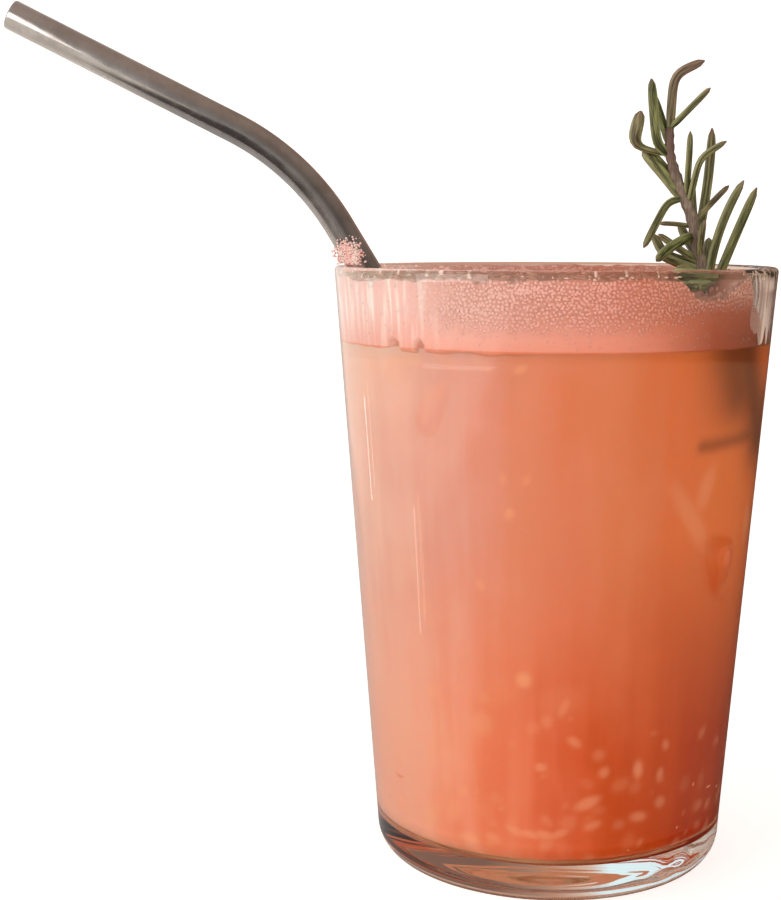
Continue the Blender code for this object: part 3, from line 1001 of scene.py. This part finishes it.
def make_pulp():
    """Small firm bits of pulp near the wall, most of them low, and curved wisps."""
    draw = random.Random(11)
    places = []
    for column, row, width, tall, _ in SHOWN_FLECKS[:FIRM_FLECKS]:
        degrees, z = wall_at(column, row)
        size = (width * 0.45 * MM, tall * 0.45 * MM, 0.5 * MM)
        radius = inside_radius(z) - CLOUD_INSET - 0.6 * MM
        places.append(turned_to_wall(degrees, radius, z, size, draw.uniform(-0.6, 0.6)))
    for _ in range(SMALL_PULP):
        degrees = draw.uniform(-180, 180)
        z = BASE_THICKNESS + 2 * MM + abs(draw.gauss(0.0, 7.0)) * MM
        width = draw.uniform(0.35, 0.9) * MM
        size = (width, width * draw.uniform(0.6, 2.0), 0.4 * MM)
        radius = inside_radius(z) - CLOUD_INSET - draw.uniform(0.4, 0.7) * MM
        places.append(turned_to_wall(degrees, radius, z, size, draw.uniform(-1.5, 1.5)))
    finish_copies("pulp_flecks", pulp_template(3.0), places, pale_pulp())

    bm = bmesh.new()
    for turn in range(WISPS):
        degrees = turn * 34.0 + 58.0
        level = BASE_THICKNESS + draw.uniform(3.0, 14.0) * MM
        sweep = draw.uniform(3.0, 8.0)
        sag = draw.uniform(-0.9, 0.9) * MM
        line = []
        for i in range(9):
            t = i / 8
            z = level + sag * 4 * t * (1 - t)
            line.append(wall_place(degrees + sweep * t, inside_radius(z) - 0.68 * MM, z))
        widths = [0.22 * MM * math.sin(math.pi * (0.08 + 0.84 * i / 8)) for i in range(9)]
        rod(bm, line, widths, widths, 6)
    bmesh.ops.recalc_face_normals(bm, faces=bm.faces)
    finish_piece("pulp_wisps", bm, pale_pulp())


# Ice cubes: degrees round from the front, distance from the axis, height, size (mm)
# and two turns in degrees
ICE_CUBES = [
    (-42.0, 27.5, 97.0, 19.0, 18.0, 32.0),
    (-12.0, 26.0, 97.0, 18.0, -14.0, 8.0),
    (47.0, 23.5, 66.0, 24.0, 26.0, 20.0),
    (150.0, 25.0, 95.0, 24.0, 12.0, 40.0),
    (-130.0, 25.0, 93.0, 24.0, -20.0, 10.0),
]


def make_ice():
    """Half-melted ice cubes that show faintly at the wall."""
    ice = melting_ice()
    for i, (degrees, out, level, size, tip, turn) in enumerate(ICE_CUBES):
        bm = bmesh.new()
        bmesh.ops.create_cube(bm, size=size * MM)
        bmesh.ops.bevel(bm, geom=bm.edges, affect="EDGES", offset=4.5 * MM, segments=4,
                        profile=0.5, material=-1)
        bmesh.ops.subdivide_edges(bm, edges=bm.edges, cuts=2, use_grid_fill=True)
        for vert in bm.verts:
            melt = noise.noise(vert.co * 130 + Vector((i * 7.0, 0.0, 0.0)))
            vert.co *= 1 + 0.06 * melt
        turned = Matrix.Rotation(math.radians(turn), 4, "Z")
        turned = turned @ Matrix.Rotation(math.radians(tip), 4, "Y")
        turned = turned @ Matrix.Rotation(math.radians(tip), 4, "X")
        place = Matrix.Translation(wall_place(degrees, out * MM, level * MM))
        bmesh.ops.transform(bm, matrix=place @ turned, verts=bm.verts)
        finish_piece(f"ice_cube_{i + 1}", bm, ice)


# Foam

# Low places of the foam's edge at the wall: degrees round, half width, depth (mm)
EDGE_DIPS = [
    (-14.5, 2.6, 0.8), (-23.5, 2.0, 0.9), (6.0, 2.5, 0.4), (18.0, 1.6, -0.5),
    (98.0, 6.0, 1.0), (-60.0, 9.0, 0.8), (-44.0, 5.0, 0.5),
]

# Hollows at the foam's foot: column and row where the camera sees them in a picture
# 781 wide and 900 high, half width in degrees, half height and depth
FOAM_POCKETS = [
    (397, 345, 1.8, 1.3 * MM, 2.3 * MM),
    (421, 347, 1.5, 1.3 * MM, 1.9 * MM),
]


def foam_top(place):
    """The height of the foam's top at a place in plan."""
    level = FOAM_LEVEL
    level += 0.40 * MM * noise.noise(Vector((place.x * 110, place.y * 110, 0.0)))
    level += 0.22 * MM * noise.noise(Vector((place.x * 420, place.y * 420, 5.0)))
    along = DIP_EDGE - SPRIG_FOOT
    share = min(max((place - SPRIG_FOOT).dot(along) / along.length_squared, 0.0), 1.0)
    away = (place - SPRIG_FOOT - along * share).length / DIP_RADIUS
    level -= DIP_DEPTH * math.exp(-away ** 4)
    straw_foot = Vector((STRAW_X_AT_RIM, STRAW_Y))
    collar = (place - straw_foot).length / (6 * MM)
    level += 1.8 * MM * math.exp(-collar * collar)
    at_wall = smooth_step(36 * MM, 42 * MM, place.length)
    degrees = round_angle(place)
    level += 1.2 * MM * at_wall * smooth_step(75.0, 100.0, abs(degrees))
    for middle, half, depth in EDGE_DIPS:
        side = (degrees - middle) / half
        level -= depth * MM * at_wall * math.exp(-side ** 4)
    return min(level, HEIGHT - 0.4 * MM)


def foam_inset(degrees, height):
    """How far the foam's side stands back from the inside of the wall."""
    covered = smooth_step(DRINK_LEVEL - 0.2 * MM, DRINK_LEVEL - 1.0 * MM, height)
    inset = -0.40 * MM + 1.1 * MM * covered
    across = bore_radius(height) * math.sin(math.radians(degrees))
    wander = 1.2 * MM * noise.noise(Vector((degrees * 0.05, 2.0, height * 160)))
    finger = noise.noise(Vector((degrees * 0.42, 7.0, height * 70)))
    right = smooth_step(107.0 * MM, 118.0 * MM, height + 3.5 * MM * finger)
    inset += max(across - FOAM_RIGHT_END - wander, 0.0) * right
    left = smooth_step(110 * MM, 113 * MM, height)
    inset += max(-across - FOAM_LEFT_END - wander, 0.0) * left
    film = smooth_step(-34.0, -46.0, degrees) * smooth_step(-118.0, -98.0, degrees)
    ripple = 0.5 + 0.5 * noise.noise(Vector((degrees * 0.35, 0.0, height * 60)))
    inset += 0.10 * MM * film * left * ripple
    for column, row, half_angle, half_height, depth in FOAM_POCKETS:
        middle, level = wall_at(column, row)
        reach = ((degrees - middle) / half_angle) ** 2
        reach += ((height - level) / half_height) ** 2
        inset += depth * math.exp(-reach ** 2)
    return inset


def make_foam():
    """The head of foam: a celled side against the wall and an uneven celled top."""
    floor = DRINK_LEVEL - FOAM_BELOW_DRINK
    profile = [(0.0, floor)]
    for i in range(FOAM_SIDE_ROWS + 1):
        z = floor + (FOAM_LEVEL - floor) * i / FOAM_SIDE_ROWS
        profile.append((bore_radius(z), z))
    edge = profile[-1][0]
    for i in range(FOAM_TOP_RINGS - 1, -1, -1):
        profile.append((edge * i / FOAM_TOP_RINGS, FOAM_LEVEL))
    bm = spun(profile, FOAM_STEPS)
    for vert in bm.verts:
        plan = vert.co.xy
        radius = plan.length
        share = (vert.co.z - floor) / (FOAM_LEVEL - floor)
        if share <= 0.0 and radius < edge - 3 * MM:
            continue
        top = foam_top(plan)
        vert.co.z = floor + (top - floor) * share
        if radius > bore_radius(vert.co.z) - 1.5 * MM and radius > 30 * MM:
            degrees = round_angle(vert.co)
            inset = foam_inset(degrees, vert.co.z)
            cell = noise.voronoi(vert.co * 1300)[0][0]
            radius = bore_radius(vert.co.z) - inset - 0.14 * MM - 0.12 * MM * cell
            vert.co.xy = plan.normalized() * radius
            hang = smooth_step(5.0, -30.0, degrees) * smooth_step(0.25, 0.0, share)
            sag = noise.noise(Vector((vert.co.x * 240, vert.co.y * 240, 3.0)))
            vert.co.z -= (0.1 + 0.4 * sag) * MM * hang
        else:
            cell = noise.voronoi(Vector((plan.x, plan.y, 0.0)) * 620)[0][0]
            vert.co.z -= 0.35 * MM * cell
    foam = foam_stuff("foam_stuff", 0.0, 0.4, 0.45, 0.4)
    finish_piece("foam_head", bm, foam, "foam")


def make_bubbles():
    """Single bubbles: fine ones close together at the wall, larger ones on the top."""
    draw = random.Random(5)
    skin = foam_stuff("bubble_skin", 0.12, 0.16, 0.0)
    places = []
    around = int(2 * math.pi * bore_radius(FOAM_LEVEL) / BUBBLE_PITCH)
    for row in range(BUBBLE_ROWS):
        for i in range(around):
            warp = noise.noise_vector(Vector((i * 0.14, row * 0.2, 0.0)))
            rise = 0.6 + row * BUBBLE_ROW_RISE + warp.x + draw.uniform(-0.21, 0.21)
            z = DRINK_LEVEL + rise * MM
            turn = i + row % 2 / 2 + 1.2 * warp.y + draw.uniform(-0.3, 0.3)
            degrees = 360 * turn / around - 180
            out = bore_radius(z) - foam_inset(degrees, z) - 0.24 * MM
            place = wall_place(degrees, out, z)
            lift = 3.5 * MM * smooth_step(8.0, 45.0, degrees)
            smooth = smooth_step(112.5 * MM, 107.5 * MM, z - lift)
            smooth = max(smooth, smooth_step(-27.0, -40.0, degrees) * (degrees > -120))
            if draw.random() < 0.92 * smooth or z > foam_top(place.xy) + 0.1 * MM:
                continue
            radius = draw.uniform(0.28, 0.43) * MM * (1 - 0.35 * smooth)
            squash = Matrix.Diagonal((1.0, 1.0, draw.uniform(0.9, 1.2), 1.0))
            places.append(Matrix.Translation(place) @ squash @ Matrix.Scale(radius, 4))
    template = ball(1, 1.0)
    finish_copies("foam_bubbles_wall", template, places, skin)

    places = []
    while len(places) < TOP_BUBBLES:
        out = 41.5 * MM * math.sqrt(draw.random())
        degrees = draw.uniform(-180, 180)
        radius = min(0.22 + draw.expovariate(4.0), 1.3) * MM
        place = wall_place(degrees, out - radius * 0.5, 0.0)
        place.z = foam_top(place.xy) - radius * 0.45 - 0.1 * MM
        inside = foam_inset(degrees, place.z) < 0.3 * MM or out < 34 * MM
        if place.z + radius > HEIGHT - 0.2 * MM or not inside:
            continue
        places.append(Matrix.Translation(place) @ Matrix.Scale(radius, 4))
    template = ball(2, 1.0)
    finish_copies("foam_bubbles_top", template, places, skin)


def make_runs():
    """Pale films and runs left on the inside of the wall as the foam sank, and drops."""
    draw = random.Random(23)
    places = []
    for low, high, count in ((58.0, 112.0, 26), (150.0, 200.0, 16)):
        for _ in range(count):
            degrees = draw.uniform(low, high)
            level = draw.uniform(109.5, 118.5) * MM
            tall = draw.uniform(4.0, 12.0) * MM
            tall = min(tall, (119.9 * MM - level) * 2, (level - 106.6 * MM) * 2)
            size = (draw.uniform(0.3, 1.3) * MM, tall, 0.32 * MM)
            radius = bore_radius(level) + 0.06 * MM
            lean = draw.uniform(-0.04, 0.04)
            places.append(turned_to_wall(degrees, radius, level, size, lean))
    template = ball(3, 0.5)
    skin = foam_stuff("run_skin", 0.35, 0.1, 0.0)
    skin.node_tree.nodes["Principled BSDF"].inputs["Alpha"].default_value = 0.6
    finish_copies("foam_runs", template, places, skin)

    places = []
    for _ in range(RIM_DROPS):
        degrees = draw.uniform(-180, 180)
        if 28.0 < degrees < 48.0:
            continue
        level = draw.uniform(118.9, 120.0) * MM
        wide = draw.uniform(0.25, 1.1) * MM
        size = (wide, draw.uniform(0.25, 0.6) * MM, 0.4 * MM)
        radius = bore_radius(level) - 0.02 * MM
        places.append(turned_to_wall(degrees, radius, level, size, 0.0))
    template = ball(2, 0.5)
    skin = foam_stuff("drop_skin", 0.5, 0.1, 0.0)
    finish_copies("rim_drops", template, places, skin)


# Straw

def straw_places():
    """The straw's centre line, from its end in the drink to its open tip."""
    low = Vector((-math.sin(LOWER_LEAN), 0.0, math.cos(LOWER_LEAN)))
    high = Vector((-math.sin(UPPER_LEAN), 0.0, math.cos(UPPER_LEAN)))
    at_rim = Vector((STRAW_X_AT_RIM, STRAW_Y, HEIGHT))
    bend_start = at_rim + low * BEND_ABOVE_RIM
    inward = Vector((-low.z, 0.0, low.x))
    centre = bend_start + inward * BEND_RADIUS
    foot = at_rim - low * LENGTH_BELOW_RIM
    places = [foot, foot + low * 0.3 * MM]
    for i in range(BEND_STEPS + 1):
        lean = LOWER_LEAN + (UPPER_LEAN - LOWER_LEAN) * i / BEND_STEPS
        outward = Vector((math.cos(lean), 0.0, math.sin(lean)))
        places.append(centre + outward * BEND_RADIUS)
    bend_end = places[-1]
    places.append(bend_end + high * (UPPER_LENGTH - 0.3 * MM))
    places.append(bend_end + high * UPPER_LENGTH)
    return places


def make_straw():
    """The straw: a thin polished tube with softened ends."""
    places = straw_places()
    count = len(places)
    outer = [STRAW_RADIUS] * count
    inner = [STRAW_BORE_RADIUS] * count
    for end in (0, -1):
        outer[end] -= STRAW_SOFTENING
        inner[end] += STRAW_SOFTENING
    bm = bmesh.new()
    outer_first, outer_last = drawn_out(bm, places, outer, outer, STRAW_SIDES)
    inner_first, inner_last = drawn_out(bm, places, inner, inner, STRAW_SIDES)
    bmesh.ops.bridge_loops(bm, edges=outer_first + inner_first)
    bmesh.ops.bridge_loops(bm, edges=outer_last + inner_last)
    bmesh.ops.recalc_face_normals(bm, faces=bm.faces)
    finish_piece("straw_tube", bm, polished_steel(), "straw")


def make_froth():
    """Froth that clings to the front of the straw just above the rim."""
    draw = random.Random(31)
    lean = math.tan(LOWER_LEAN)
    places = []
    while len(places) < FROTH_BALLS:
        x = draw.gauss(-41.2, 1.3) * MM
        z = draw.gauss(122.6, 1.5) * MM
        if z < HEIGHT + 0.2 * MM or z > 126.8 * MM or x < -44.6 * MM:
            continue
        off = (x - STRAW_X_AT_RIM + (z - HEIGHT) * lean) * math.cos(LOWER_LEAN)
        bulge = math.sqrt(max(STRAW_RADIUS ** 2 - off ** 2, 0.0))
        radius = draw.uniform(0.10, 0.25) * MM
        y = STRAW_Y - bulge - draw.uniform(-0.1, 0.4) * MM
        if abs(off) > STRAW_RADIUS + 1.6 * MM or off > STRAW_RADIUS:
            continue
        place = Vector((x, y, z))
        places.append(Matrix.Translation(place) @ Matrix.Scale(radius, 4))
    template = ball(2, 1.0)
    skin = foam_stuff("froth_skin", 0.15, 0.1, 0.0)
    finish_copies("straw_froth", template, places, skin)


# Sprig

def stem_place(part):
    """A place along the stem, from 0 at its foot to 1 at its top, on a smooth curve."""
    spans = len(STEM_PLACES) - 1
    span = min(int(part * spans), spans - 1)
    t = part * spans - span
    picks = [max(span - 1, 0), span, span + 1, min(span + 2, spans)]
    a, b, c, d = [Vector((STEM_PLACES[i][0], STEM_PLACES[i][1])) for i in picks]
    curve = 2 * b + (c - a) * t + (2 * a - 5 * b + 4 * c - d) * t ** 2
    curve = (curve + (3 * b - a - 3 * c + d) * t ** 3) / 2
    return Vector((curve.x * MM, SPRIG_Y, curve.y * MM))


def stem_place_at(height):
    """The place on the stem's centre line at a height."""
    low, high = 0.0, 1.0
    for _ in range(24):
        middle = (low + high) / 2
        if stem_place(middle).z < height:
            low = middle
        else:
            high = middle
    return stem_place(low)


def make_stem():
    """The woody stem, with leaf scars and ridges."""
    places = [stem_place(i / STEM_STEPS) for i in range(STEM_STEPS + 1)]
    radii = []
    for i in range(STEM_STEPS + 1):
        taper = i / STEM_STEPS
        radius = STEM_RADIUS_LOW + (STEM_RADIUS_TOP - STEM_RADIUS_LOW) * taper
        radii.append(radius * (1 + 0.10 * math.sin(i * 1.9)))
    bm = bmesh.new()
    rod(bm, places, radii, radii, STEM_SIDES)
    bmesh.ops.recalc_face_normals(bm, faces=bm.faces)
    for vert in bm.verts:
        bark = noise.noise(Vector((vert.co.x * 1500, vert.co.y * 1500, vert.co.z * 260)))
        vert.co += vert.normal * 0.12 * MM * bark
    finish_piece("sprig_stem", bm, woody_stem(), "rosemary")


def leaf_line(row):
    """A leaf's centre line and its half widths."""
    height, lean_foot, lean_tip, away, length, width, kink, _ = row
    places = [stem_place_at(height * MM)]
    half_widths = []
    step = length * MM / LEAF_STEPS
    for i in range(LEAF_STEPS + 1):
        part = i / LEAF_STEPS
        turned = part
        if kink:
            turned = 1 / (1 + math.exp(-(part - abs(kink)) * KINK_SHARPNESS))
        lean = math.radians(lean_foot + (lean_tip - lean_foot) * turned)
        ahead = Vector((math.sin(lean), away, math.cos(lean))).normalized()
        if i < LEAF_STEPS:
            places.append(places[-1] + ahead * step)
        swell = min(1.0, 0.55 + 3.0 * part) * math.sqrt(max(1.02 - part ** 12, 0.03))
        if kink < 0:
            swell *= 0.45 + 0.55 * turned
        half_widths.append(width * MM / 2 * swell)
    return places, half_widths


def leaf_layers(bm):
    """Layers that the leaf material reads."""
    return [bm.verts.layers.float.new(name) for name in ("dried", "edge", "across", "along")]


def mark_leaf(verts, layers, places, half_widths, roll, dry, seed):
    """Writes down where each corner of a leaf lies: across it, along it, on its edge."""
    dried, edge, across, along = layers
    for vert in verts:
        near = min(range(len(places)), key=lambda i: (places[i] - vert.co).length)
        part = near / LEAF_STEPS
        vert[dried] = min(1.0, dry * (0.4 + 0.9 * part) + smooth_step(0.86, 1.0, part) * 0.5)
        away = vert.co - places[near]
        half = max(half_widths[near], 0.1 * MM)
        vert[edge] = smooth_step(0.7, 1.0, away.length / half)
        side = section(places, near, 1.0, 1.0, roll).col[0].to_3d()
        vert[across] = seed * 7.3 + 2.6 * away.dot(side) / half
        vert[along] = seed * 3.1 + 2.4 * part


def make_leaves():
    """Needle leaves, each with a groove along it and rolled edges."""
    draw = random.Random(7)
    bm = bmesh.new()
    layers = leaf_layers(bm)
    for seed, row in enumerate(LEAVES):
        places, half_widths = leaf_line(row)
        half_depths = [half * LEAF_THICKNESS for half in half_widths]
        before = len(bm.verts)
        roll = math.radians(draw.uniform(-40, 40))
        rod(bm, places, half_widths, half_depths, LEAF_SIDES, LEAF_GROOVE, roll)
        bm.verts.ensure_lookup_table()
        mark_leaf(list(bm.verts)[before:], layers, places, half_widths, roll, row[7], seed)
    bmesh.ops.recalc_face_normals(bm, faces=bm.faces)
    finish_piece("sprig_leaves", bm, rosemary_leaf())


# Needles that lie in the dip, close behind the wall: column and row of both ends where
# the camera sees them in a picture 781 wide and 900 high, and width (mm)
DIP_NEEDLES = [
    ((675, 273), (727, 276), 2.2),
    ((681, 279), (725, 281), 2.4),
    ((689, 286), (719, 286), 2.2),
    ((698, 270), (706, 292), 2.0),
    ((715, 270), (709, 289), 1.8),
]


def make_needles():
    """Loose rosemary needles in the dip of the foam, seen through the wall."""
    bm = bmesh.new()
    layers = leaf_layers(bm)
    for i, (start, end, width) in enumerate(DIP_NEEDLES):
        places = []
        for step in range(LEAF_STEPS + 1):
            t = step / LEAF_STEPS
            column = start[0] + (end[0] - start[0]) * t
            row = start[1] + (end[1] - start[1]) * t
            degrees, height = wall_at(column, row)
            out = bore_radius(height) - (1.4 + 0.35 * i + 0.5 * t) * MM
            places.append(wall_place(degrees, out, height))
        halves = []
        for step in range(LEAF_STEPS + 1):
            t = step / LEAF_STEPS
            halves.append(width * MM / 2 * math.sqrt(max(1.02 - (2 * t - 1) ** 6, 0.03)))
        thin = [half * LEAF_THICKNESS for half in halves]
        before = len(bm.verts)
        rod(bm, places, halves, thin, LEAF_SIDES, LEAF_GROOVE, NEEDLE_ROLL)
        mark_leaf(list(bm.verts)[before:], layers, places, halves, NEEDLE_ROLL, 0.12, i)
    bmesh.ops.recalc_face_normals(bm, faces=bm.faces)
    finish_piece("dip_needles", bm, rosemary_leaf())


# Studio

def make_backdrop():
    """A pale floor that curves up into a pale wall."""
    bm = bmesh.new()
    left, right, front, back = -1.2, 1.2, -0.7, 0.8
    tall, bend = 0.9, 0.3
    line = [(front, FLOOR_GAP)]
    for y, z in arc((back - bend, bend), bend, -math.pi / 2, 0.0, 16):
        line.append((y, z + FLOOR_GAP))
    line.append((back, tall))
    verts = [bm.verts.new((left, y, z)) for y, z in line]
    edges = [bm.edges.new(pair) for pair in zip(verts, verts[1:])]
    made = bmesh.ops.extrude_edge_only(bm, edges=edges)["geom"]
    moved = [item for item in made if isinstance(item, bmesh.types.BMVert)]
    bmesh.ops.translate(bm, vec=(right - left, 0.0, 0.0), verts=moved)
    shown_object("backdrop", bm, painted_glow_backdrop())


def add_softbox(name, place, aim, size, power, colour, mirrored=True):
    """A soft rectangular lamp at a place, facing another."""
    lamp = bpy.data.lights.new(name, "AREA")
    lamp.shape = "RECTANGLE"
    lamp.size, lamp.size_y = size
    lamp.energy = power
    lamp.color = colour
    made = bpy.data.objects.new(name, lamp)
    made.visible_glossy = mirrored
    made.visible_transmission = mirrored
    made.location = place
    made.rotation_euler = (Vector(aim) - Vector(place)).to_track_quat("-Z", "Y").to_euler()
    bpy.context.scene.collection.objects.link(made)


def light_studio():
    """A big soft window at the left, a weak fill, and slim low lights for the wall."""
    add_softbox("window", (-0.66, -0.42, 0.27), (0.0, 0.0, 0.07), (0.6, 0.4), 2.2,
                (1.0, 0.97, 0.94))
    add_softbox("fill", (0.48, -0.85, 0.36), (0.0, 0.0, 0.07), (0.5, 0.4), 4.0,
                (1.0, 0.95, 0.90), mirrored=False)
    add_softbox("slim_back", (-0.22, 0.13, 0.04), (-0.03, -0.02, 0.08), (0.002, 0.035),
                0.0016, (1.0, 1.0, 1.0))
    add_softbox("slim_side", (-0.16, -0.03, 0.022), (-0.03, -0.02, 0.07), (0.002, 0.034),
                0.0007, (1.0, 0.97, 0.9))
    world = bpy.data.worlds.new("studio")
    world.use_nodes = True
    tree = world.node_tree
    place = add_node(tree, "ShaderNodeTexCoord")
    axes = split(tree, place.outputs["Generated"])
    side = mapped(tree, axes["X"], -0.9, 0.3, 0.75, 0.05)
    warm = blended(tree, side, (0.10, 0.085, 0.075), (1.0, 0.98, 0.96))
    sky = mapped(tree, axes["Z"], 0.15, 0.9, 0.0, 0.5)
    shade = blended(tree, sky, warm, (0.72, 0.54, 0.44))
    path = add_node(tree, "ShaderNodeLightPath")
    # Painted refraction: rays that pass through glass see a warm beige to coral sky instead
    past = mapped(tree, axes["X"], -0.3, 0.3)
    refracted = blended(tree, past, (0.85, 0.78, 0.73), (0.78, 0.54, 0.43))
    shade = blended(tree, path.outputs["Is Transmission Ray"], shade, refracted)
    shade = blended(tree, path.outputs["Is Camera Ray"], shade, (1.0, 1.0, 1.0))
    background = tree.nodes["Background"]
    tree.links.new(shade, background.inputs["Color"])
    background.inputs["Strength"].default_value = 1.0
    bpy.context.scene.world = world


def place_camera():
    """The camera at the photograph's place and angle."""
    lens = bpy.data.cameras.new("camera")
    lens.lens = CAMERA_LENS
    lens.sensor_width = CAMERA_SENSOR
    camera = bpy.data.objects.new("camera", lens)
    camera.matrix_world = Matrix.Translation(CAMERA_PLACE) @ CAMERA_TURN
    bpy.context.scene.collection.objects.link(camera)
    bpy.context.scene.camera = camera


place_camera()
make_tumbler()
make_drink()
make_pulp()
make_ice()
make_foam()
make_bubbles()
make_runs()
make_straw()
make_froth()
make_stem()
make_leaves()
make_needles()
make_backdrop()
light_studio()
bpy.context.scene.view_settings.view_transform = "Standard"
